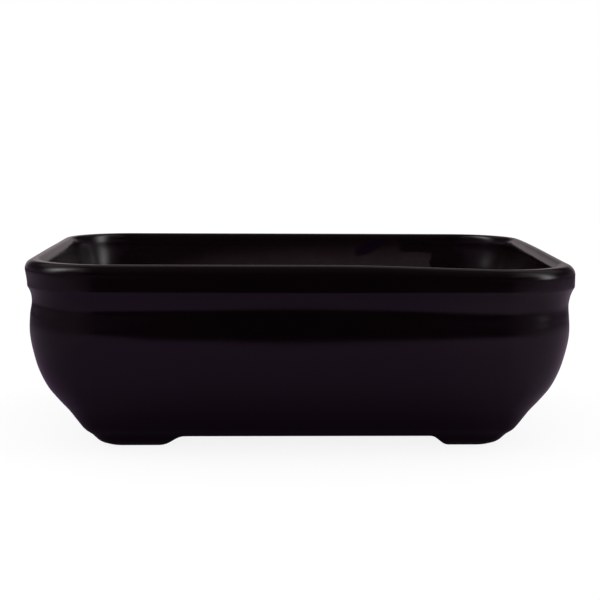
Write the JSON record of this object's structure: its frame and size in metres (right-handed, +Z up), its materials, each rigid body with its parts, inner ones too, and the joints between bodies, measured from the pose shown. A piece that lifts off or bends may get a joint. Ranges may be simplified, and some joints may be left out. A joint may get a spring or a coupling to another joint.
{
  "type": "rectangular planter",
  "caption": "Low rounded-rectangular glazed bonsai pot with a rolled rim band, bellied walls, corner feet, and wired drain nets inside.",
  "frame": {"origin": "on the ground under the middle of the pot", "axes": "+X along the pot's length, +Y across it towards the back, +Z up"},
  "size_m": [0.204, 0.159, 0.0706],
  "materials": {
    "glaze": "near-black aubergine glaze, glossy, over stoneware",
    "foot_glaze": "the same near-black glaze, wiped off the soles",
    "net": "black moulded plastic net, satin",
    "wire": "soft bare aluminium wire, satin"
  },
  "bodies": {
    "root": {"pot_body": "glaze", "foot_front_left": "foot_glaze", "foot_front_right": "foot_glaze", "foot_back_left": "foot_glaze", "foot_back_right": "foot_glaze", "drain_screen_left": "net", "drain_screen_right": "net", "screen_clip_left": "wire", "screen_clip_right": "wire"}
  },
  "joints": []
}
